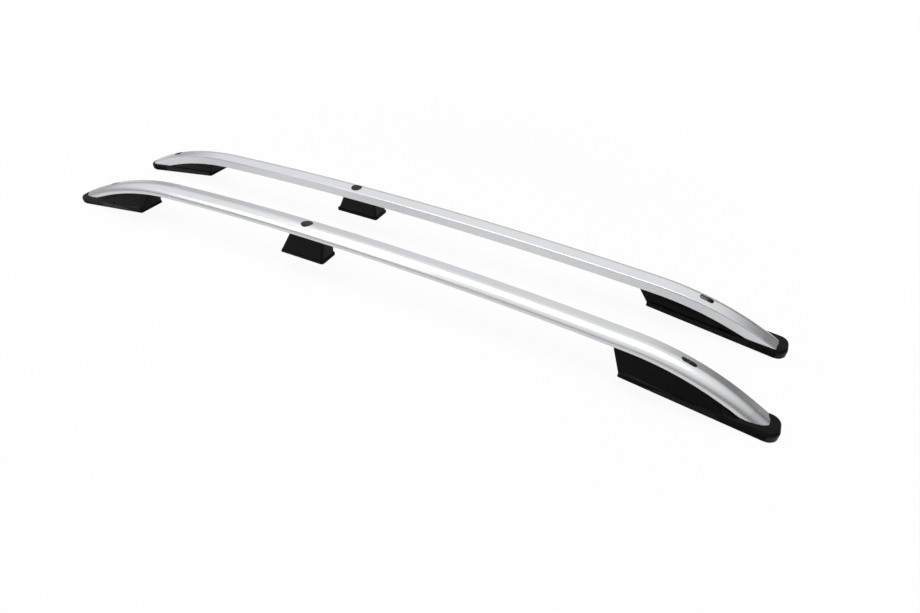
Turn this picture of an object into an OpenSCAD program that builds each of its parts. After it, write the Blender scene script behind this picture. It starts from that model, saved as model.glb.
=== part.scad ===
// Pair of roof side rails: two bent aluminium extrusions, mirror images of each other,
// each carried by three moulded feet. Lengths are millimetres. X runs along the rails to the
// front, Z is up from the tips of the feet, and the pair is centred on X = 0 and Y = 0.

/* [Pair] */
// Length of each rail over the tips of its feet
pair_len = 1975; // [1800:5:2300]
// Distance between the two rails where they stand
pair_spacing = 260; // [180:10:1100]
// Lean of each rail towards the other, in degrees
lean = 8.6; // [0:0.2:12]
// Height of the roof under the inner end of an end foot, above the roof under the tips
end_rise = 44; // [34:1:48]
// Height of the roof under the middle foot, above the roof under the tips
middle_rise = 59; // [50:1:75]
// Length of each nose that stands flat
flat_len = 26; // [16:1:34]

/* [Rail] */
// Width of the extrusion
rail_w = 49; // [44:1:56]
// Height of the extrusion
rail_h = 28; // [27:1:32]
// Wall of the extrusion
rail_wall = 2.5; // [1.8:0.1:3.5]
// Radius of the wide outer shoulder
shoulder_r = 24.5; // [18:0.5:24.5]
// Radius of the other three long edges
edge_r = 3; // [2:0.5:5]
// Clear height between the roof line and the highest part of the rail
standoff = 54; // [45:1:65]
// Place of the highest part, along X from the middle
crown_x = -42; // [-80:2:80]
// Radius of the long arch
crown_r = 10300; // [9000:100:12000]
// Slope of the rail where it dips into the front foot, in degrees
front_slope = 27.4; // [24:0.2:30]
// Slope of the rail where it dips into the rear foot, in degrees
rear_slope = 24.3; // [22:0.2:28]
// Straight length at each end of the rail
tail_len = 40; // [25:1:60]
// Distance of the rail's end from the tip of the foot
end_inset = 36; // [30:1:45]
// Height of the underside line at the rail's front end
front_end_z = 2; // [0:0.5:8]
// Height of the underside line at the rail's rear end
rear_end_z = 5; // [0:0.5:8]

/* [Openings in the rail] */
// Length of the open slots over the end feet
slot_len = 34; // [26:1:38]
// Width of the open slots
slot_w = 15; // [13:0.5:16]
// Distance of the front slot from the front tip
front_slot_in = 204; // [190:1:215]
// Distance of the rear slot from the rear tip
rear_slot_in = 145; // [135:1:175]
// Diameter of the hole over the middle foot
cap_hole_d = 30; // [26:1:32]
// Offset of slots and hole outwards from the rail's middle
hole_out = -2; // [-4:0.5:2]
// Thickness of the cap that closes the hole
cap_t = 4.5; // [4:0.5:7]
// Width of the cap's lip inside the rail
cap_lip = 1.5; // [1:0.1:2.5]

/* [End feet] */
// Length of a front foot along the roof
front_foot_len = 322; // [300:1:340]
// Length of a rear foot along the roof
rear_foot_len = 291; // [270:1:340]
// Width of an end foot at its inner end
foot_w = 76; // [70:1:80]
// Width of an end foot at its tip
nose_w = 62; // [58:1:66]
// Rounding of the tip's two corners, seen from above
tip_r = 22; // [16:0.5:28]
// Height of the base flange above the roof at the tip, pad included
flange_h = 15; // [13:0.5:18]
// Height of the base flange at the inner end, pad included
flange_end_h = 10; // [8:0.5:14]
// Height of the nose that holds the front end of the rail
front_nose_h = 25; // [22:1:30]
// Height of the nose that holds the rear end of the rail
rear_nose_h = 20; // [18:1:26]
// Rounding of the nose's upper edge
nose_r = 8; // [5:1:12]
// Distance from the tip at which the nose has run out into the flange
nose_len = 120; // [100:5:150]
// Rounding of the flange's upper edge
flange_r = 2.6; // [1.6:0.1:4]
// Rounding of the flange's corners at the inner end
flange_corner_r = 5.3; // [4:0.1:9]
// Distance of the side walls from the flange's edge
ledge = 3.5; // [2:0.5:8]
// Distance of the inner end wall from the flange's edge
end_ledge = 2; // [1:0.5:8]
// Thickness of the pad under an end foot
pad_t = 3; // [2:0.5:4]
// Distance of the pad's edge from the foot's edge
pad_inset = 2; // [1.5:0.5:4]
// Width of the pad's band
pad_band = 12; // [10:1:16]
// Height of the pocket floor under the rail's end
pocket_z = 9; // [8:0.5:11]
// Slope of the front foot's inner end, in degrees
front_foot_slant = 36; // [0:1:38]
// Slope of the rear foot's inner end, in degrees
rear_foot_slant = 22; // [0:1:35]

/* [Middle feet] */
// Place of the middle foot, from the rear tip
middle_in = 839; // [780:1:1100]
// Length of the middle foot's base
middle_len = 131; // [120:1:150]
// Width of the middle foot's base
middle_w = 56; // [52:1:64]
// Height of the middle foot's base flange
middle_flange_h = 6; // [5:0.5:10]
// Distance of the middle foot's walls from the edge of its base
middle_ledge = 2; // [1:0.5:6]
// Slope of the middle foot's rear end, in degrees
middle_slant = 27; // [0:1:32]

/* [Mouldings] */
// Width of a foot where it meets the rail
top_w = 43; // [38:1:44]
// Wall of the feet
wall = 3; // [2.5:0.1:4]
// Thickness of the feet under the rail
seat_t = 4; // [3:0.5:6]
// Thickness of the ribs
rib_t = 2.4; // [1.8:0.1:3]
// Distance between the cross ribs
rib_pitch = 42; // [36:1:60]
// Rounding of the feet's upright corners
corner_r = 6.7; // [6:0.1:9]
// Wall of the bosses round the sleeves
boss_wall = 3.2; // [2.5:0.1:4]

/* [Fasteners] */
// Bore for the roof bolts
bolt_d = 8.5; // [6.5:0.5:10.5]
// Wall of the steel sleeves round the roof bolts
sleeve_wall = 1.8; // [1.2:0.1:2.5]
// Thread diameter of the foot screws
screw_d = 4.8; // [4:0.2:5.5]
// Length of the foot screws under the head
screw_len = 13; // [11:1:18]
// Diameter of the foot screws' heads
screw_head_d = 9.5; // [8.5:0.5:11]
// Height of the foot screws' heads
screw_head_h = 3.4; // [2.5:0.1:4]
// Room between parts that are pushed together
fit_gap = 0.2; // [0.1:0.05:0.4]

/* [Hidden] */
SIDES = ["right", "left"];
PARTS = ["rail", "front_foot", "middle_foot", "rear_foot", "front_pad", "rear_pad", "hole_cap",
    "front_sleeve", "middle_sleeve", "rear_sleeve", "front_screws", "middle_screws", "rear_screws"];
arc_fn = 720;
soft_fn = 32;
round_fn = 64;
shoulder_steps = 14;
edge_steps = 4;
hair = 0.02;
lap = 0.02;
step = 24;
deep = 400;
hollow_in = 72;
half_len = pair_len / 2;
crown_z = middle_rise + standoff;
middle_x = middle_in - half_len;
front_slot_x = half_len - front_slot_in;
rear_slot_x = rear_slot_in - half_len;
sleeve_d = bolt_d + 2 * sleeve_wall;

// Radius of the bend that joins the long arch to an end's straight tail, run metres out and drop down
function bend_r(run, drop, slope) = let (
        dx = run - tail_len * cos(slope),
        dz = drop - tail_len * sin(slope)
    ) (dx * dx - 2 * crown_r * dz + dz * dz)
        / (2 * (dx * sin(slope) + (crown_r - dz) * cos(slope) - crown_r));

// Slope at which the long arch gives way to that bend
function bend_start(run, r, slope) = asin((run - tail_len * cos(slope) - r * sin(slope)) / (crown_r - r));

front_run = half_len - end_inset - crown_x;
rear_run = half_len - end_inset + crown_x;
front_r = bend_r(front_run, crown_z - front_end_z, front_slope);
rear_r = bend_r(rear_run, crown_z - rear_end_z, rear_slope);
front_start = bend_start(front_run, front_r, front_slope);
rear_start = bend_start(rear_run, rear_r, rear_slope);
front_cx = crown_x + (crown_r - front_r) * sin(front_start);
front_cz = crown_z - crown_r + (crown_r - front_r) * cos(front_start);
rear_cx = crown_x - (crown_r - rear_r) * sin(rear_start);
rear_cz = crown_z - crown_r + (crown_r - rear_r) * cos(rear_start);

// Slope of the rail at a place along X, positive where it falls to the front
function rail_slope(x) =
    x > crown_x + crown_r * sin(front_start) ? min(asin(min((x - front_cx) / front_r, 1)), front_slope)
    : x < crown_x - crown_r * sin(rear_start) ? max(asin(max((x - rear_cx) / rear_r, -1)), -rear_slope)
    : asin((x - crown_x) / crown_r);

// Height of the rail's underside there, straight on from where a tail starts
function rail_z(x) =
    x > crown_x + crown_r * sin(front_start)
    ? front_cz + front_r * cos(rail_slope(x))
        - max(x - front_cx - front_r * sin(front_slope), 0) * tan(front_slope)
    : x < crown_x - crown_r * sin(rear_start)
    ? rear_cz + rear_r * cos(rail_slope(x))
        - max(rear_cx - rear_r * sin(rear_slope) - x, 0) * tan(rear_slope)
    : crown_z - crown_r + crown_r * cos(rail_slope(x));

// Length, and tilt along the roof, of the front (way 1) or rear (way -1) foot
function foot_len(way) = way > 0 ? front_foot_len : rear_foot_len;
function roof_tilt(way) = atan2(end_rise, foot_len(way) - flat_len);

// Points on a circle of radius r round a centre, from angle a to angle b
function arc(centre, r, a, b, steps) =
    [for (i = [0:steps]) let (t = a + (b - a) * i / steps) centre + r * [cos(t), sin(t)]];

// Outline of the extrusion, grown by g. x is height over the underside, y is the way inwards.
module section(g = 0) {
    low = max(edge_r + g, fit_gap);
    inner = rail_w / 2 + g;
    top = rail_h + g;
    big = min(shoulder_r + g, top + g - low - fit_gap);
    polygon(concat(
        arc([top - big, big - inner], big, -90, 0, shoulder_steps),
        arc([top - low, inner - low], low, 0, 90, edge_steps),
        arc([low - g, inner - low], low, 90, 180, edge_steps),
        arc([low - g, low - inner], low, 180, 270, edge_steps)
    ));
}

// Sweeps a flat shape along one arc of the rail, from slope a to slope b
module sweep_arc(x, z, r, a, b) {
    translate([x, 0, z])
        rotate([90, 0, 0])
            rotate([0, 0, 90 - b])
                rotate_extrude(angle = b - a, $fn = arc_fn)
                    translate([r, 0])
                        children();
}

// Sweeps a flat shape straight on from the end of an arc
module sweep_tail(x, z, r, slope, start, len) {
    translate([x, 0, z])
        rotate([90, 0, 0])
            rotate([0, 0, 90 - slope])
                translate([0, start, 0])
                    rotate([90, 0, 0])
                        linear_extrude(len)
                            translate([r, 0])
                                children();
}

// Sweeps a flat shape along the long arch, between two slopes
module along_arch(a, b) {
    sweep_arc(crown_x, crown_z - crown_r, crown_r, a, b)
        children();
}

// The whole bar of the rail, grown by g all round and longer by more at each end. The bends are a hair
// thicker, and the lengths between them run on a little way inside, so that all of it is one solid.
module bar(g = 0, more = 0) {
    sweep_arc(rear_cx, rear_cz, rear_r, -rear_slope, -rear_start)
        section(g + hair);
    along_arch(-rear_start - lap, front_start + lap)
        section(g);
    sweep_arc(front_cx, front_cz, front_r, front_start, front_slope)
        section(g + hair);
    sweep_tail(rear_cx, rear_cz, rear_r, -rear_slope, tail_len + more, tail_len + more + edge_r)
        section(g);
    sweep_tail(front_cx, front_cz, front_r, front_slope, edge_r, tail_len + more + edge_r)
        section(g);
}

// Puts a shape in the leaning plane of the rail
module leaning() {
    rotate([lean, 0, 0])
        children();
}

// Puts a shape upright on the rail's underside at x, in the leaning plane
module on_rail(x) {
    leaning()
        translate([x, 0, rail_z(x)])
            rotate([0, rail_slope(x), 0])
                children();
}

// Places a part on its own side of the pair
module placed(side) {
    if (side == "left")
        translate([0, pair_spacing / 2, 0])
            children();
    else
        mirror([0, 1, 0])
            translate([0, pair_spacing / 2, 0])
                children();
}

// Everything below the height z
module below(z) {
    translate([-pair_len, -deep, z - deep])
        cube([2 * pair_len, 2 * deep, deep]);
}

// Everything under an end foot, raised by t: flat under the tip and sloping on from there along the roof
module end_ground(way, t) {
    below(t);
    at_tip(way)
        translate([flat_len, 0, t])
            rotate([0, -roof_tilt(way), 0])
                translate([-deep, -deep, -deep])
                    cube([3 * deep, 2 * deep, deep]);
}

// Everything under a middle foot, raised by t
module middle_ground(t) {
    translate([middle_x, 0, middle_rise])
        rotate([0, -atan2(middle_rise - end_rise, middle_in) / 2, 0])
            translate([-deep, -deep, t - deep])
                cube([2 * deep, 2 * deep, deep]);
}

// Everything over the rail's underside lowered by t, from x = a to x = b, in short flat steps
module above(a, b, t) {
    count = ceil(abs(b - a) / step);
    line = [for (i = [0:count]) let (x = a + (b - a) * i / count)
        [x - t * sin(rail_slope(x)), rail_z(x) - t * cos(rail_slope(x))]];
    leaning()
        rotate([90, 0, 0])
            linear_extrude(2 * foot_w, center = true)
                polygon(concat(line, [[b, deep], [a, deep]]));
}

// Everything over the rail's underside lowered by t, at one end of the pair
module above_end(way, t) {
    above(way * (half_len - foot_len(way) - foot_w), way * half_len, t);
}

// Everything over the rail's underside lowered by t, round the middle foot
module above_middle(t) {
    above(middle_x - middle_len, middle_x + middle_len, t);
}

// Space for the rail's end in an end foot, in short straight steps, with g of room all round
module pocket(way, g) {
    tip_x = half_len - end_inset + g;
    difference() {
        for (i = [0:4])
            on_rail(way * (tip_x - step * (i + 0.5)))
                rotate([0, -90, 180])
                    linear_extrude(step + rail_wall, center = true)
                        section(g);
        below(pocket_z);
    }
}

// An obround, len over its round ends
module obround(len, w) {
    for (x = [-1, 1])
        translate([x * (len - w) / 2, 0])
            circle(d = w, $fn = round_fn);
    square([len - w, w], center = true);
}

// Line of a roof bolt at x: upright, under the middle of the rail's opening
module bolt_line(x) {
    translate([x, hole_out * cos(lean) - (rail_z(x) + rail_h / 2) * sin(lean), 0])
        children();
}

// Screw places: two in each foot. way is 1 for the front foot and -1 for the rear one.
function end_screws(way) = [for (u = [0.4, 0.86]) way * (half_len - foot_len(way) * u)];
middle_screws = [middle_x - middle_len / 4, middle_x + middle_len / 3];

// The extrusion with its slots, its hole, its bolt holes and its screw holes
module rail() {
    difference() {
        leaning()
            bar();
        leaning()
            bar(-rail_wall, rail_wall);
        below(pocket_z);
        for (x = [front_slot_x, rear_slot_x])
            on_rail(x)
                translate([0, hole_out, rail_h / 2])
                    linear_extrude(rail_h)
                        obround(slot_len, slot_w);
        on_rail(middle_x)
            translate([0, hole_out, rail_h / 2])
                cylinder(d = cap_hole_d, h = rail_h, $fn = round_fn);
        for (x = [front_slot_x, middle_x, rear_slot_x])
            bolt_line(x)
                translate([0, 0, rail_z(x) - rail_h])
                    cylinder(d = bolt_d, h = rail_h * 1.5, $fn = round_fn);
        for (x = concat(end_screws(1), middle_screws, end_screws(-1)))
            on_rail(x)
                translate([0, 0, -rail_wall])
                    cylinder(d = screw_d + 2 * fit_gap, h = 3 * rail_wall, $fn = round_fn);
    }
}

// Puts a shape drawn from a foot's tip inwards, alike on both sides, on the front (way 1) or rear (way -1)
module at_tip(way) {
    if (way > 0)
        translate([half_len, 0, 0])
            rotate([0, 0, 180])
                children();
    else
        translate([-half_len, 0, 0])
            children();
}

// A disc with a rounded upper edge, for hulls
module button(r, h, e) {
    rotate_extrude($fn = soft_fn)
        union() {
            square([r, h - e]);
            square([r - e, h]);
            translate([r - e, h - e])
                intersection() {
                    circle(r = e, $fn = soft_fn);
                    square(e);
                }
        }
}

// Two discs with rounded upper edges at x, w apart over all, from z = -h to z = h
module button_pair(x, w, r, h, e) {
    for (y = [-1, 1])
        translate([x, y * (w / 2 - r), -h])
            button(r, 2 * h, e);
}

// Base flange of an end foot, pulled in by c all round and lowered by c
module end_flange(way, c) {
    tilt = roof_tilt(way);
    at_tip(way)
        rotate([0, -tilt, 0])
            hull() {
                button_pair(foot_len(way) - flange_corner_r, foot_w - 2 * c,
                    flange_corner_r - min(c, flange_r), flange_end_h - c, flange_r);
                button_pair(tip_r + flange_h * sin(tilt), nose_w - 2 * c, tip_r - c, flange_h - c, flange_r);
            }
}

// Nose that rises out of the flange and holds the rail's end
module nose(way) {
    nose_h = way > 0 ? front_nose_h : rear_nose_h;
    at_tip(way)
        hull() {
            button_pair(tip_r, nose_w, tip_r, nose_h, nose_r);
            rotate([0, -roof_tilt(way), 0])
                button_pair(nose_len - tip_r, nose_w, tip_r, flange_h, flange_r);
        }
}

// Drafted side walls between two ends. Each corner of the hull is [x, width, height, which way r turns].
module skirt(corners, r) {
    hull()
        for (c = corners)
            for (y = [-1, 1])
                translate([c[0] + c[3] * r, y * (c[1] / 2 - r), c[2]])
                    cylinder(r = r, h = 0.01, $fn = soft_fn);
}

// Side walls of an end foot, pulled in by c. slant is the slope of its inner end.
module end_walls(way, slant, c, from) {
    ledge_z = end_rise + flange_end_h;
    seat_z = rail_z(way * (half_len - foot_len(way)));
    draft = (foot_w - 2 * ledge - top_w) / (seat_z - ledge_z);
    low = -2 * flange_h;
    at_ledge = foot_len(way) - end_ledge - c;
    leaning()
        at_tip(way)
            skirt([
                [at_ledge - (ledge_z - low) * tan(slant), top_w + (seat_z - low) * draft - 2 * c, low, -1],
                [at_ledge + (crown_z - ledge_z) * tan(slant), top_w - (crown_z - seat_z) * draft - 2 * c,
                    crown_z, -1],
                [from, nose_w - 4 * ledge - 2 * c, low, 1],
                [from, nose_w - 8 * ledge - 2 * c, crown_z, 1]
            ], corner_r - c);
}

// Ribs and the bolt's boss inside a foot
module ribs(xs, bolt_x) {
    leaning()
        for (x = xs)
            translate([x - rib_t / 2, -foot_w, -deep / 4])
                cube([rib_t, 2 * foot_w, deep]);
    leaning()
        translate([-pair_len, -rib_t / 2, -deep / 4])
            cube([2 * pair_len, rib_t, deep]);
    bolt_line(bolt_x)
        translate([0, 0, -deep / 4])
            cylinder(d = sleeve_d + 2 * boss_wall, h = deep, $fn = round_fn);
}

// Tunnels for the screws and the bore for the sleeve, cut through a foot
module foot_bores(bolt_x, screws) {
    bolt_line(bolt_x)
        translate([0, 0, -deep / 4])
            cylinder(d = sleeve_d + 2 * fit_gap, h = deep, $fn = round_fn);
    for (x = screws)
        on_rail(x) {
            translate([0, 0, -seat_t - deep])
                cylinder(d = screw_head_d + 2, h = deep, $fn = round_fn);
            translate([0, 0, -2 * seat_t])
                cylinder(d = screw_d + 2 * fit_gap, h = 4 * seat_t, $fn = round_fn);
        }
}

// Moulded shell of an end foot
module end_foot(way, slant) {
    bolt_x = way > 0 ? front_slot_x : rear_slot_x;
    count = floor((foot_len(way) - nose_len) / rib_pitch);
    difference() {
        union() {
            end_flange(way, 0);
            nose(way);
            difference() {
                end_walls(way, slant, 0, end_inset + rail_wall);
                above_end(way, fit_gap);
            }
        }
        difference() {
            union() {
                end_walls(way, slant, wall, hollow_in);
                difference() {
                    end_flange(way, wall);
                    at_tip(way)
                        translate([-deep, -deep, -deep])
                            cube([deep + nose_len, 2 * deep, 2 * deep]);
                }
            }
            above_end(way, seat_t);
            ribs([for (i = [0:count]) way * (half_len - nose_len - i * rib_pitch)], bolt_x);
        }
        pocket(way, fit_gap);
        end_ground(way, pad_t);
        foot_bores(bolt_x, end_screws(way));
    }
}

// Direction of the line that touches two round corners at once
function tangent(a, ra, b, rb) = atan2(b[1] - a[1], b[0] - a[0]) + acos((ra - rb) / norm(b - a));

// Outline of an end foot on the roof, pulled in by c
module end_outline(way, c) {
    tip = [tip_r, nose_w / 2 - tip_r];
    r = max(flange_corner_r - c, 1);
    in = [foot_len(way) - c - r, foot_w / 2 - c - r];
    t = tangent(tip, tip_r - c, in, r);
    polygon(concat(
        arc([in[0], -in[1]], r, -t, 0, edge_steps),
        arc(in, r, 0, t, edge_steps),
        arc(tip, tip_r - c, t, 180, shoulder_steps),
        arc([tip[0], -tip[1]], tip_r - c, 180, 360 - t, shoulder_steps)
    ));
}

// Rubber pad under an end foot: a band that follows the edge of the foot
module end_pad(way) {
    difference() {
        intersection() {
            at_tip(way)
                linear_extrude(crown_z)
                    difference() {
                        end_outline(way, pad_inset);
                        end_outline(way, pad_inset + pad_band);
                    }
            end_ground(way, pad_t);
        }
        end_ground(way, 0);
    }
}

// Moulded shell of a middle foot: upright in front, slanted at the rear
module middle_foot() {
    ledge_z = middle_rise + middle_flange_h;
    seat_z = rail_z(middle_x);
    draft = (middle_w - 2 * middle_ledge - top_w) / (seat_z - ledge_z);
    shift = -ledge_z * sin(lean);
    // Side walls, pulled in by c
    module walls(c) {
        rear = middle_x - middle_len / 2 + middle_ledge + c;
        front = middle_x + middle_len / 2 - middle_ledge - c;
        low_w = top_w + seat_z * draft - 2 * c;
        high_w = top_w - (rail_h) * draft - 2 * c;
        top = seat_z + rail_h;
        leaning()
            skirt([
                [rear - ledge_z * tan(middle_slant), low_w, 0, 1],
                [rear + (top - ledge_z) * tan(middle_slant), high_w, top, 1],
                [front, low_w, 0, -1],
                [front, high_w, top, -1]
            ], corner_r - c);
    }
    // Base flange, pulled in by c
    module base(c) {
        intersection() {
            translate([middle_x, shift, 0])
                linear_extrude(crown_z)
                    rounded_box(middle_len, middle_w, corner_r, c);
            middle_ground(middle_flange_h - c);
        }
    }
    difference() {
        union() {
            base(0);
            difference() {
                walls(0);
                above_middle(fit_gap);
            }
        }
        difference() {
            union() {
                walls(wall);
                base(wall);
            }
            above_middle(seat_t);
            ribs([for (i = [-1:1]) middle_x + i * rib_pitch], middle_x);
        }
        middle_ground(0);
        foot_bores(middle_x, middle_screws);
    }
}

// A box with rounded corners, l by w over all, pulled in by c
module rounded_box(l, w, r, c) {
    polygon([for (i = [0:3]) each arc(
        [(i == 0 || i == 3 ? 1 : -1) * (l / 2 - r), (i < 2 ? 1 : -1) * (w / 2 - r)],
        r - c, 90 * i, 90 * i + 90, shoulder_steps
    )]);
}

// Flush cap in the hole over the middle foot, with a lip that holds it from inside the rail
module hole_cap() {
    // The round piece of a shell of the extrusion, d across
    module piece(d, out, inside) {
        intersection() {
            leaning()
                along_arch(rail_slope(middle_x - cap_hole_d), rail_slope(middle_x + cap_hole_d))
                    difference() {
                        section(out);
                        section(inside);
                    }
            on_rail(middle_x)
                translate([0, hole_out, rail_h / 2])
                    cylinder(d = d, h = rail_h, $fn = round_fn);
        }
    }
    piece(cap_hole_d - 2 * fit_gap, 0, -cap_t);
    piece(cap_hole_d + 2 * cap_lip, -rail_wall - fit_gap, -cap_t);
}

// Steel sleeve that takes the clamping force of a roof bolt through a foot. Its children bound it.
module sleeve(x) {
    difference() {
        bolt_line(x)
            cylinder(d = sleeve_d, h = rail_z(x) + rail_h / 2, $fn = round_fn);
        bolt_line(x)
            translate([0, 0, -deep])
                cylinder(d = bolt_d, h = 2 * deep, $fn = round_fn);
        children();
    }
}

module end_sleeve(way, x) {
    sleeve(x) {
        above_end(way, fit_gap);
        end_ground(way, pad_t);
    }
}

module middle_sleeve() {
    sleeve(middle_x) {
        above_middle(fit_gap);
        middle_ground(0);
    }
}

// Pan-head screws that hold a foot to the rail from inside the foot
module screws(xs) {
    for (x = xs)
        on_rail(x)
            translate([0, 0, -seat_t - fit_gap]) {
                translate([0, 0, -screw_head_h])
                    cylinder(d = screw_head_d, h = screw_head_h, $fn = round_fn);
                cylinder(d = screw_d, h = screw_len, $fn = round_fn);
            }
}

// One part of one side, by its name
module part(side, name) {
    placed(side) {
        if (name == "rail")
            color("silver")
                rail();
        if (name == "front_foot")
            color([0.08, 0.08, 0.08])
                end_foot(1, front_foot_slant);
        if (name == "rear_foot")
            color([0.08, 0.08, 0.08])
                end_foot(-1, rear_foot_slant);
        if (name == "middle_foot")
            color([0.08, 0.08, 0.08])
                middle_foot();
        if (name == "front_pad")
            color([0.05, 0.05, 0.05])
                end_pad(1);
        if (name == "rear_pad")
            color([0.05, 0.05, 0.05])
                end_pad(-1);
        if (name == "hole_cap")
            color([0.12, 0.12, 0.12])
                hole_cap();
        if (name == "front_sleeve")
            color([0.6, 0.6, 0.62])
                end_sleeve(1, front_slot_x);
        if (name == "middle_sleeve")
            color([0.6, 0.6, 0.62])
                middle_sleeve();
        if (name == "rear_sleeve")
            color([0.6, 0.6, 0.62])
                end_sleeve(-1, rear_slot_x);
        if (name == "front_screws")
            color([0.7, 0.7, 0.7])
                screws(end_screws(1));
        if (name == "middle_screws")
            color([0.7, 0.7, 0.7])
                screws(middle_screws);
        if (name == "rear_screws")
            color([0.7, 0.7, 0.7])
                screws(end_screws(-1));
    }
}

for (s = SIDES)
    for (p = PARTS)
        part(s, p);
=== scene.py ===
# %% [markdown]
# # A pair of roof side rails
# Two bent aluminium extrusions lie side by side as mirror images of each other. Each one stands on
# three black moulded feet: a long foot under either end, with a nose that wraps the end of the
# extrusion, and a short foot near the middle. The exact solids come from the frame. This script
# refines the four end feet, gives all pieces their materials, and sets up the light and the camera.

# %% Load the frame
import math

import bpy
from mathutils import Matrix, Vector


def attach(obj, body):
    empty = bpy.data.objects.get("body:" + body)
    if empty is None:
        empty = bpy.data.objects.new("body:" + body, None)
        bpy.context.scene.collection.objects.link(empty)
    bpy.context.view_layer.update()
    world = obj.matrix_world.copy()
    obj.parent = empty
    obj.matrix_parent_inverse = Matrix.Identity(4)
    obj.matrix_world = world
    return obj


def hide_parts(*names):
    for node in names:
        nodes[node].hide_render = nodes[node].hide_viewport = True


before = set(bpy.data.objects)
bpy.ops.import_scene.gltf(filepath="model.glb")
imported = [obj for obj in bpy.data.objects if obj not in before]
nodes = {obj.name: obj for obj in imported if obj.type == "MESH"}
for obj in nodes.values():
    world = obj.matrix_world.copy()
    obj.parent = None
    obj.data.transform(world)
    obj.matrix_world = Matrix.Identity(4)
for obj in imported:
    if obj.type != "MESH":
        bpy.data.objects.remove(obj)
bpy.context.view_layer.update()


# %% [markdown]
# ## Colours and nodes
# Colours are written as they look on screen (sRGB hex) and are turned into the linear values that the
# shader works with. One function adds a node of any kind, sets what it is given and links its inputs,
# so that each material below reads as a short list of nodes. Another one starts a material.

# %% Helpers for colours, nodes and materials
def colour(code):
    parts = [int(code[i:i + 2], 16) / 255 for i in (1, 3, 5)]
    return [c / 12.92 if c <= 0.04045 else ((c + 0.055) / 1.055) ** 2.4 for c in parts] + [1.0]


def add(tree, kind, inputs=None, **settings):
    made = tree.nodes.new(kind)
    for name, value in settings.items():
        setattr(made, name, value)
    for name, value in (inputs or {}).items():
        if isinstance(value, bpy.types.NodeSocket):
            tree.links.new(value, made.inputs[name])
        else:
            made.inputs[name].default_value = value
    return made


def material(name, base, roughness, metallic=0.0):
    made = bpy.data.materials.new(name)
    made.use_nodes = True
    shader = made.node_tree.nodes["Principled BSDF"]
    shader.inputs["Base Color"].default_value = colour(base)
    shader.inputs["Roughness"].default_value = roughness
    shader.inputs["Metallic"].default_value = metallic
    made.diffuse_color = colour(base)
    return made, made.node_tree, shader


print("middle grey in linear light:", round(colour("#808080")[0], 4))

# %% [markdown]
# ## Satin anodised aluminium
# The extrusion is brushed lengthwise before it is bent and anodised, which leaves very fine streaks
# along the rail and a soft, even sheen. The streaks are noise stretched more than four hundred times
# along X. They change the roughness a little and lift the surface by a few thousandths of a
# millimetre. A slow, wide noise keeps two metres of metal from looking printed.

# %% Material of the extrusions
# Streaks to a metre: a third of a metre long and 0.7 mm wide, because real brushing is too fine to show.
STREAKS_ALONG, STREAKS_ACROSS = 3.0, 1400.0
CLOUDS = 9.0  # to a metre
metal, tree, shader = material("anodised aluminium", "#D8D9DA", 0.30, 1.0)
place = add(tree, "ShaderNodeTexCoord").outputs["Object"]
along = add(tree, "ShaderNodeMapping", {"Vector": place, "Scale": (STREAKS_ALONG, STREAKS_ACROSS, STREAKS_ACROSS)})
streaks = add(tree, "ShaderNodeTexNoise", {"Vector": along.outputs["Vector"], "Scale": 1.0, "Detail": 3.0})
streaks = streaks.outputs["Fac"]
clouds = add(tree, "ShaderNodeTexNoise", {"Vector": place, "Scale": CLOUDS, "Detail": 2.0}).outputs["Fac"]
rough = add(tree, "ShaderNodeMapRange", {"Value": streaks, "To Min": 0.24, "To Max": 0.34}).outputs["Result"]
tree.links.new(rough, shader.inputs["Roughness"])
shade = add(tree, "ShaderNodeMix", data_type="RGBA")
tree.links.new(clouds, shade.inputs[0])
shade.inputs[6].default_value = colour("#D6D7D8")
shade.inputs[7].default_value = colour("#DEDFE0")
tree.links.new(shade.outputs[2], shader.inputs["Base Color"])
lift = add(tree, "ShaderNodeBump", {"Height": streaks, "Strength": 0.12, "Distance": 0.00002})
tree.links.new(lift.outputs["Normal"], shader.inputs["Normal"])
print("aluminium:", len(tree.nodes), "nodes")

# %% [markdown]
# ## Black moulded plastic
# The feet are moulded in weatherproof black plastic with a fine spark-eroded grain of about half a
# millimetre. The grain is what turns hard reflections into a soft grey gleam along the edges, and a
# wide noise lets the gloss vary a little, as it does on a large moulding.

# %% Material of the feet
GRAIN, PATCHES = 1900.0, 25.0  # to a metre: grain of about half a millimetre, patches of 4 cm
black, tree, shader = material("black moulded plastic", "#050506", 0.38)
shader.inputs["Specular IOR Level"].default_value = 0.10
place = add(tree, "ShaderNodeTexCoord").outputs["Object"]
grain = add(tree, "ShaderNodeTexNoise", {"Vector": place, "Scale": GRAIN, "Detail": 2.0}).outputs["Fac"]
wide = add(tree, "ShaderNodeTexNoise", {"Vector": place, "Scale": PATCHES, "Detail": 3.0}).outputs["Fac"]
rough = add(tree, "ShaderNodeMapRange", {"Value": wide, "To Min": 0.37, "To Max": 0.47}).outputs["Result"]
tree.links.new(rough, shader.inputs["Roughness"])
lift = add(tree, "ShaderNodeBump", {"Height": grain, "Strength": 0.25, "Distance": 0.00005})
tree.links.new(lift.outputs["Normal"], shader.inputs["Normal"])
print("plastic:", len(tree.nodes), "nodes")

# %% [markdown]
# ## Rubber and the cap
# The pads under the end feet are soft, matt rubber, which takes up dust unevenly. The cap over the
# middle foot comes out of a smoother mould than the feet and shines a little more.

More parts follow.
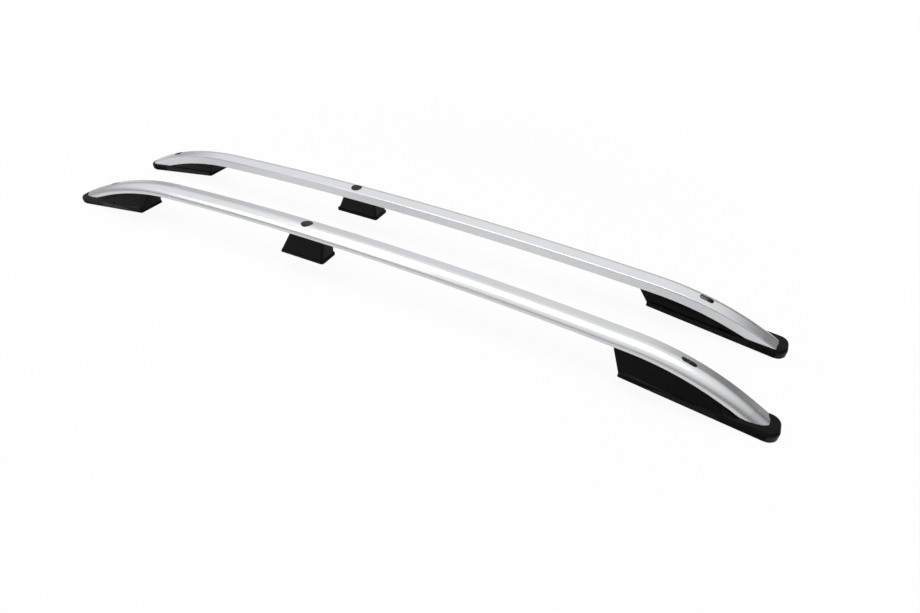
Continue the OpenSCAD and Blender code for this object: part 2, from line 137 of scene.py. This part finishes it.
# %% Materials of the pads and the caps
DUST, CAP_GRAIN = 300.0, 2500.0  # to a metre: spots of about 3 mm, grain of about 0.4 mm
rubber, tree, shader = material("pad rubber", "#101010", 0.8)
shader.inputs["Specular IOR Level"].default_value = 0.25
place = add(tree, "ShaderNodeTexCoord").outputs["Object"]
dust = add(tree, "ShaderNodeTexNoise", {"Vector": place, "Scale": DUST, "Detail": 4.0}).outputs["Fac"]
rough = add(tree, "ShaderNodeMapRange", {"Value": dust, "To Min": 0.72, "To Max": 0.88}).outputs["Result"]
tree.links.new(rough, shader.inputs["Roughness"])
print("rubber:", len(tree.nodes), "nodes")

cap, tree, shader = material("cap plastic", "#141415", 0.35)
shader.inputs["Specular IOR Level"].default_value = 0.2
place = add(tree, "ShaderNodeTexCoord").outputs["Object"]
grain = add(tree, "ShaderNodeTexNoise", {"Vector": place, "Scale": CAP_GRAIN, "Detail": 1.0}).outputs["Fac"]
lift = add(tree, "ShaderNodeBump", {"Height": grain, "Strength": 0.15, "Distance": 0.00003})
tree.links.new(lift.outputs["Normal"], shader.inputs["Normal"])
print("cap:", len(tree.nodes), "nodes")


# %% [markdown]
# ## The hidden steel
# The sleeves round the roof bolts are zinc plated, which is cloudy and a little dull. The screws are
# plain steel and somewhat smoother. Both are the same metal shader with spots in its roughness, so
# one function makes them.

# %% Materials of the sleeves and the screws
SPOTS = 700.0  # to a metre, so spots of about 1.5 mm


def steel(name, base, low, high):
    made, tree, shader = material(name, base, low, 1.0)
    place = add(tree, "ShaderNodeTexCoord").outputs["Object"]
    spots = add(tree, "ShaderNodeTexNoise", {"Vector": place, "Scale": SPOTS, "Detail": 3.0}).outputs["Fac"]
    rough = add(tree, "ShaderNodeMapRange", {"Value": spots, "To Min": low, "To Max": high})
    tree.links.new(rough.outputs["Result"], shader.inputs["Roughness"])
    print(name + ":", len(tree.nodes), "nodes")
    return made


zinc = steel("zinc plated steel", "#B4B4AE", 0.30, 0.45)
plain = steel("plain steel", "#9A9B9C", 0.25, 0.38)

# %% [markdown]
# ## The moulded end feet, refined
# On the real foot the side walls rise from a narrow ledge that runs along the base flange, and end right
# under the edges of the rail. The solid's walls swell out over that ledge, so each end foot is dressed:
# a copy of the solid is trimmed by an envelope of flange, nose and straight walls, and the wall and the
# flange's rim are laid over it as thin shells. The left feet are made, and the right ones are their
# mirror images. Places along a foot are counted inwards from the tip of the rail's end, and `way` is 1
# at the front and -1 at the rear.

# %% Sizes of the end feet, in metres
HALF_LENGTH, LEFT_Y, LEAN = 0.9875, 0.13, math.radians(8.6)
FOOT_WIDTH, NOSE_WIDTH, TOP_WIDTH = 0.076, 0.062, 0.043
TIP_HEIGHT, END_HEIGHT, END_RISE = 0.015, 0.010, 0.044
FLAT_SOLE, NOSE_END, WALL_HEIGHT = 0.026, 0.098, 0.034
TIP_R, CORNER_R, RIM_R, NOSE_R, WALL_R = 0.022, 0.0053, 0.0026, 0.008, 0.004
LEDGE, END_LEDGE = 0.0035, 0.002
ends = {
    "front": {"way": 1, "length": 0.322, "slant": math.radians(36), "nose": 0.025},
    "rear": {"way": -1, "length": 0.291, "slant": math.radians(22), "nose": 0.020},
}
for name, end in ends.items():
    end["tilt"] = math.atan2(END_RISE, end["length"] - FLAT_SOLE)
    print(name, "foot climbs at", round(math.degrees(end["tilt"]), 2), "degrees")


# %% [markdown]
# ## Working in edit mode from a script
# An operator acts on all that is selected, so everything is deselected first and only the pieces in
# hand are chosen. The second function opens edit mode, runs a list of steps and closes it again.

# %% Helpers for selecting and editing
ALL = (bpy.ops.mesh.select_all, {"action": "SELECT"})


def only(*chosen):
    bpy.ops.object.select_all(action="DESELECT")
    for one in chosen:
        one.select_set(True)
    bpy.context.view_layer.objects.active = chosen[0]


def edit(*steps):
    bpy.ops.object.mode_set(mode="EDIT")
    for step, options in steps:
        step(**options)
    bpy.ops.object.mode_set(mode="OBJECT")


only(nodes["left_front_foot"])
print("in hand:", bpy.context.object.name)


# %% [markdown]
# ## Hulls, cuts and thin walls
# Each form starts as a few thin round discs at its corners. Their convex hull gives flat sides with
# rounded corners, as wrapping paper pulled tight would. An exact boolean adds or trims. For a thin
# shell, the faces that aren't wanted go, and the band that stays is thickened inwards.

# %% Helpers for forms
DISC = 0.00002  # metres thick


def hull(name, discs):
    made = []
    for place, radius, turn in discs:
        bpy.ops.mesh.primitive_cylinder_add(vertices=32, radius=radius, depth=DISC, location=place, rotation=turn)
        made.append(bpy.context.object)
    only(*made)
    bpy.ops.object.join()
    bpy.ops.object.transform_apply(location=True, rotation=True, scale=True)
    edit(ALL, (bpy.ops.mesh.convex_hull, {}), ALL, (bpy.ops.mesh.normals_make_consistent, {"inside": False}))
    made[0].name = name
    print(name, "from", len(discs), "discs,", len(made[0].data.polygons), "faces")
    return made[0]


def combine(first, second, operation):
    only(first)
    step = first.modifiers.new(operation, "BOOLEAN")
    step.operation, step.object, step.solver = operation, second, "EXACT"
    bpy.ops.object.modifier_apply(modifier=step.name)


def keep_band(solid, goes, thickness):
    only(solid)
    edit((bpy.ops.mesh.select_all, {"action": "DESELECT"}))
    for face in solid.data.polygons:
        face.select = goes(face)
    edit((bpy.ops.mesh.delete, {"type": "FACE"}))
    step = solid.modifiers.new("wall", "SOLIDIFY")
    step.thickness, step.offset = thickness, -1.0
    bpy.ops.object.modifier_apply(modifier=step.name)
    print(solid.name, "keeps", len(solid.data.polygons), "faces")


# %% [markdown]
# ## Flange and nose
# The base flange is round at its tip and has small corners at its inner end. Its upper edge is
# rounded, which a stack of discs gives: each one higher is a little smaller. The flange tilts with
# the roof, while the nose stands level on its flat sole.

# %% Stacks of discs, and the two forms made of them
STACK = (-90, 0, 30, 60, 90)  # degrees round the upper edge, where -90 stands for the lowest disc


def buttons(end, u, width, radius, height, rounding, tilt, grow):
    discs = []
    for v in (radius - width / 2, width / 2 - radius):
        for a in STACK:
            w = height + grow - rounding * (1 - math.sin(math.radians(a))) if a >= 0 else -height
            r = radius + grow - rounding * (1 - math.cos(math.radians(max(a, 0))))
            x, z = u * math.cos(tilt) - w * math.sin(tilt), u * math.sin(tilt) + w * math.cos(tilt)
            discs.append(((end["way"] * (HALF_LENGTH - x), LEFT_Y + v, z), r, (0.0, end["way"] * tilt, 0.0)))
    return discs


def flange(name, end, grow):
    tilt = end["tilt"]
    return hull(name, buttons(end, end["length"] - CORNER_R, FOOT_WIDTH, CORNER_R, END_HEIGHT, RIM_R, tilt, grow)
                + buttons(end, TIP_R + TIP_HEIGHT * math.sin(tilt), NOSE_WIDTH, TIP_R, TIP_HEIGHT, RIM_R, tilt,
                          grow))


def nose(end, grow):
    return hull("nose", buttons(end, TIP_R, NOSE_WIDTH, TIP_R, end["nose"], NOSE_R, 0.0, grow)
                + buttons(end, NOSE_END, NOSE_WIDTH, TIP_R, TIP_HEIGHT, RIM_R, end["tilt"], grow))


print("a stack has", len(STACK), "discs")


# %% [markdown]
# ## Side walls that end under the rail
# The walls lean with the rail and must meet it along its whole bent underside. So the height of their
# upper edge isn't computed: at each place along the foot a ray is sent up, and the wall ends where it
# meets the metal. The ray starts to one side of the middle, so that it misses the holes. Towards the
# ground the walls sink a little into the ledge, which leaves no crack.

# %% Rays to the rail, and the walls
BESIDE_HOLES, SINK = 0.016, 0.003
across_rail = Vector((0.0, math.cos(LEAN), math.sin(LEAN)))
up_rail = Vector((0.0, -math.sin(LEAN), math.cos(LEAN)))


def seat(end, u, v, gap):
    start = Vector((end["way"] * (HALF_LENGTH - u), LEFT_Y, 0.0)) + across_rail * BESIDE_HOLES
    found, place, normal, index = nodes["left_rail"].ray_cast(start, up_rail)
    return place + across_rail * (v - BESIDE_HOLES) - up_rail * gap


def walls(name, end, starts, gap, inset):
    discs, last = [], end["length"] - END_LEDGE - inset
    for u in starts + [last]:
        share = u / end["length"]
        width = NOSE_WIDTH - 2 * LEDGE + (FOOT_WIDTH - NOSE_WIDTH) * share - 2 * inset
        ledge = TIP_HEIGHT + (END_RISE + END_HEIGHT - TIP_HEIGHT) * share
        top = u if u < last else last + WALL_HEIGHT * math.tan(end["slant"])
        x = end["way"] * (HALF_LENGTH - u + WALL_R)
        for v in (-1, 1):
            discs.append(((x, LEFT_Y + v * (width / 2 - WALL_R), ledge - SINK), WALL_R, (0.0, 0.0, 0.0)))
            discs.append((seat(end, top - WALL_R, v * (TOP_WIDTH / 2 - WALL_R - inset), gap), WALL_R,
                          (LEAN, 0.0, 0.0)))
    return hull(name, discs)


print("the rail's underside at the front slot:", [round(c, 4) for c in seat(ends["front"], 0.204, 0.0, 0.0)])


# %% [markdown]
# ## Envelope, side shell and rim
# The envelope is all that a foot may fill: a hair more than flange and nose, and a little less than
# the walls, so that the ends of the ribs don't show through the shell. Under the rail it reaches past
# the seat, which stays as it is. The side shell is the straight walls with the slanted inner end. The
# rim is the edge of the flange, without its flat faces and the stretch under the nose. It is cut off
# just above the sole by two planes, a tilted one and a level one.

# %% Parts that trim and dress one end foot
TALL_STARTS, SIDE_STARTS = [0.044, 0.10, 0.16, 0.22], [0.105, 0.15, 0.20, 0.25]
INTO_RAIL, INSET, HAIR = 0.004, 0.0008, 0.0003
WALL, RIM_WALL, ABOVE_SOLE, NOSE_STRETCH = 0.0025, 0.006, 0.003, 0.10
GROW = 0.0001


def envelope_of(end):
    form, front = flange("envelope", end, GROW), nose(end, GROW)
    tall = walls("tall", end, TALL_STARTS, -INTO_RAIL, INSET)
    combine(form, front, "UNION")
    combine(form, tall, "UNION")
    return form, front, tall


def side_of(end):
    side = walls("side", end, SIDE_STARTS, HAIR, 0.0)
    keep_band(side, lambda face: abs(face.normal.z) > 0.75 or face.normal.x * end["way"] > 0.75, WALL)
    return side


def rim_of(end):
    rim, way, tilt = flange("rim", end, 0.0), end["way"], end["tilt"]
    slope = (way * math.sin(tilt), 0.0, math.cos(tilt))
    for x, normal in ((way * (HALF_LENGTH - FLAT_SOLE), slope), (0.0, (0.0, 0.0, 1.0))):
        edit(ALL, (bpy.ops.mesh.bisect, {"plane_co": (x, LEFT_Y, ABOVE_SOLE), "plane_no": normal,
                                         "clear_inner": True}))
    reach = HALF_LENGTH - NOSE_STRETCH
    keep_band(rim, lambda face: abs(face.normal.z) > 0.93 or face.center.x * way > reach, RIM_WALL)
    return rim


print("a side shell is", 1000 * WALL, "mm thick, a rim", 1000 * RIM_WALL, "mm")

# %% [markdown]
# ## Trim a copy of each end foot and dress it
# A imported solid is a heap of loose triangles, so its copy is merged first and only then trimmed. The
# shells join it, and the finished left foot is mirrored to the right. Mirroring turns every face
# inside out, so the copy's faces are flipped back. Both ride on the one body there is, and take the
# place and the finish of their solids.

# %% The four end feet
WELD = 0.000001
feet = {}
for name, end in ends.items():
    envelope, front, tall = envelope_of(end)
    side, rim = side_of(end), rim_of(end)
    only(nodes["left_" + name + "_foot"])
    bpy.ops.object.duplicate()
    left = bpy.context.object
    left.name = "left_" + name + "_foot_shell"
    left.hide_render = False
    edit(ALL, (bpy.ops.mesh.remove_doubles, {"threshold": WELD}))
    combine(left, envelope, "INTERSECT")
    only(left, side, rim)
    bpy.ops.object.join()
    only(left)
    bpy.ops.object.duplicate()
    right = bpy.context.object
    right.name = "right_" + name + "_foot_shell"
    right.scale.y = -1.0
    bpy.ops.object.transform_apply(location=False, rotation=False, scale=True)
    edit(ALL, (bpy.ops.mesh.flip_normals, {}))
    only(envelope, front, tall)
    bpy.ops.object.delete()
    for made, hand in ((left, "left_"), (right, "right_")):
        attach(made, "root")
        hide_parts(hand + name + "_foot")
        feet[made.name] = made
        print(made.name, len(made.data.polygons), "faces")

# %% [markdown]
# ## Finishes and smooth shading
# Each piece gets the one material that the real piece is made of, found by the last word of its name.
# Faces that meet at a shallow angle are shaded as one surface, so that bends and rounded corners look
# round and the true edges stay crisp. The roundings themselves are in the shapes. A bevel modifier
# could soften the last sharp edges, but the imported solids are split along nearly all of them: it finds
# next to nothing to round, and what little it finds on the middle feet it tears open.

# %% Dress each piece
SMOOTH_BELOW = math.radians(28)
looks = {"rail": metal, "foot": black, "shell": black, "pad": rubber, "cap": cap, "sleeve": zinc, "screws": plain}
for name, piece in list(nodes.items()) + list(feet.items()):
    finish = next(look for word, look in looks.items() if name.endswith(word))
    piece.data.materials.clear()
    piece.data.materials.append(finish)
    only(piece)
    bpy.ops.object.shade_smooth_by_angle(angle=SMOOTH_BELOW)
    print(name, len(piece.data.polygons), "faces,", finish.name)

# %% [markdown]
# ## Floor
# The rails lie on a white sweep. The camera and its mirror images should find it white, yet it has to
# show the object's soft shadow. So most of what the camera sees of it near the object is a glow of
# strength 1, with a little real paper mixed in, and far out it is all glow. Mirror rays find
# mostly real, shaded paper near the object and the glow far out, which gives the metal its darker
# lower side.

# %% The floor and its paper
NEAR_GLOW_CAMERA, NEAR_GLOW_MIRROR = 0.93, 0.15
bpy.ops.mesh.primitive_plane_add(size=14, location=(0, 2, 0))
floor = bpy.context.object
floor.name = "studio_floor"
paper, tree, shader = material("white paper", "#F4F4F4", 0.9)
shader.inputs["Specular IOR Level"].default_value = 0.0
path = add(tree, "ShaderNodeLightPath")
mirror = add(tree, "ShaderNodeMath", {0: path.outputs["Is Glossy Ray"], 1: path.outputs["Is Transmission Ray"]},
             operation="MAXIMUM").outputs[0]
place = add(tree, "ShaderNodeTexCoord").outputs["Object"]
near = add(tree, "ShaderNodeMapping", {"Vector": place, "Location": (0.0, 1.4, 0.0), "Scale": (0.7, 0.7, 1.0)})
far = add(tree, "ShaderNodeVectorMath", {0: near.outputs["Vector"]}, operation="LENGTH").outputs["Value"]
shares = []
for ray, low in ((path.outputs["Is Camera Ray"], NEAR_GLOW_CAMERA), (mirror, NEAR_GLOW_MIRROR)):
    clean = add(tree, "ShaderNodeMapRange", {"Value": far, "From Min": 0.45, "From Max": 1.3, "To Min": low,
                                             "To Max": 1.0}, interpolation_type="SMOOTHSTEP").outputs["Result"]
    shares.append(add(tree, "ShaderNodeMath", {0: clean, 1: ray}, operation="MULTIPLY").outputs[0])
share = add(tree, "ShaderNodeMath", {0: shares[0], 1: shares[1]}, operation="MAXIMUM").outputs[0]
glow = add(tree, "ShaderNodeEmission", {"Color": (1, 1, 1, 1), "Strength": 1.0})
both = add(tree, "ShaderNodeMixShader", {0: share, 1: shader.outputs[0], 2: glow.outputs[0]})
out = next(node for node in tree.nodes if node.type == "OUTPUT_MATERIAL")
tree.links.new(both.outputs[0], out.inputs["Surface"])
floor.data.materials.append(paper)
print("floor:", len(tree.nodes), "nodes")

# %% [markdown]
# ## Sky
# The camera sees plain white. Mirror rays find a sky that is bright overhead and dark low down,
# darkest towards the front, as in a studio with a lamp above and a darker room around it: that is
# what draws the long bands and the dark front bends on the metal. All other rays get an even, weaker
# light, which keeps the object at a plain level.

# %% The sky
SKY = ((0.0, 0.15), (0.10, 0.26), (0.18, 0.48), (0.30, 0.92), (0.50, 1.0))  # height, brightness
FRONT_DARKER, EVEN_LIGHT = -0.55, 0.45
world = bpy.data.worlds.new("studio")
bpy.context.scene.world = world
world.use_nodes = True
tree = world.node_tree
sky = tree.nodes["Background"]
towards = add(tree, "ShaderNodeTexCoord").outputs["Generated"]
parts = add(tree, "ShaderNodeSeparateXYZ", {"Vector": towards})
ahead = add(tree, "ShaderNodeMath", {0: parts.outputs["X"], 1: 0.0}, operation="MAXIMUM").outputs[0]
height = add(tree, "ShaderNodeMath", {0: ahead, 1: FRONT_DARKER, 2: parts.outputs["Z"]}, operation="MULTIPLY_ADD")
ramp = add(tree, "ShaderNodeValToRGB", {"Fac": height.outputs[0]})
bands = ramp.color_ramp.elements
bands.remove(bands[1])
for place, value in SKY:
    step = bands.new(place) if place else bands[0]
    step.color = (value, value, value, 1.0)
path = add(tree, "ShaderNodeLightPath")
mirror = add(tree, "ShaderNodeMath", {0: path.outputs["Is Glossy Ray"], 1: path.outputs["Is Transmission Ray"]},
             operation="MAXIMUM").outputs[0]
seen = add(tree, "ShaderNodeMix", {"Factor": mirror}, data_type="FLOAT")
seen.inputs[2].default_value = EVEN_LIGHT
tree.links.new(ramp.outputs["Color"], seen.inputs[3])
level = add(tree, "ShaderNodeMath", {0: seen.outputs[0], 1: path.outputs["Is Camera Ray"]}, operation="MAXIMUM")
sky.inputs["Color"].default_value = (1, 1, 1, 1)
tree.links.new(level.outputs[0], sky.inputs["Strength"])
print("sky:", len(bands), "bands")


# %% [markdown]
# ## Lamps
# One broad lamp overhead gives the soft light from above and the wide highlight along the rails. A
# weaker one from the near side, at the rear, keeps the flanks of the feet readable.

# %% Two lamps
def lamp(name, place, aim, size, power):
    data = bpy.data.lights.new(name, "AREA")
    data.shape = "RECTANGLE"
    data.size, data.size_y = size
    data.energy = power
    made = bpy.data.objects.new(name, data)
    bpy.context.collection.objects.link(made)
    made.location = place
    made.rotation_euler = (Vector(aim) - Vector(place)).to_track_quat("-Z", "Y").to_euler()
    print(name, "lamp:", power, "W over", round(size[0] * size[1], 2), "square metres")


lamp("overhead", (0.0, -0.4, 2.6), (0.0, 0.0, 0.0), (3.2, 1.6), 42)
lamp("side", (-2.2, -2.4, 1.9), (0.0, 0.0, 0.1), (1.8, 1.2), 14)

# %% [markdown]
# ## Camera
# The photograph was taken from beside the front end, about ninety centimetres up, with a wide lens,
# so the near front foot looms and the far rail shrinks. The turn is written as pitch, yaw and roll,
# and the camera's three axes are worked out from them.

# %% Place the camera
pitch, yaw, roll = (math.radians(a) for a in (39.41, 25.28, 1.73))
forward = Vector((-math.sin(yaw) * math.cos(pitch), math.cos(yaw) * math.cos(pitch), -math.sin(pitch)))
right = Vector((math.cos(yaw), math.sin(yaw), 0.0))
up = right.cross(forward)
across = right * math.cos(roll) + up * math.sin(roll)
upward = up * math.cos(roll) - right * math.sin(roll)
data = bpy.data.cameras.new("camera")
data.lens, data.sensor_width = 22.66, 36.0
data.shift_x, data.shift_y = -0.0060, 0.0002
camera = bpy.data.objects.new("camera", data)
bpy.context.collection.objects.link(camera)
camera.matrix_world = Matrix.Translation((0.7389, -1.0519, 0.8998)) @ Matrix(
    (across, upward, -forward)).transposed().to_4x4()
scene = bpy.context.scene
scene.camera = camera
scene.view_settings.view_transform = "Standard"
print("camera at", [round(c, 3) for c in camera.matrix_world.translation], "lens", round(data.lens, 2), "mm")
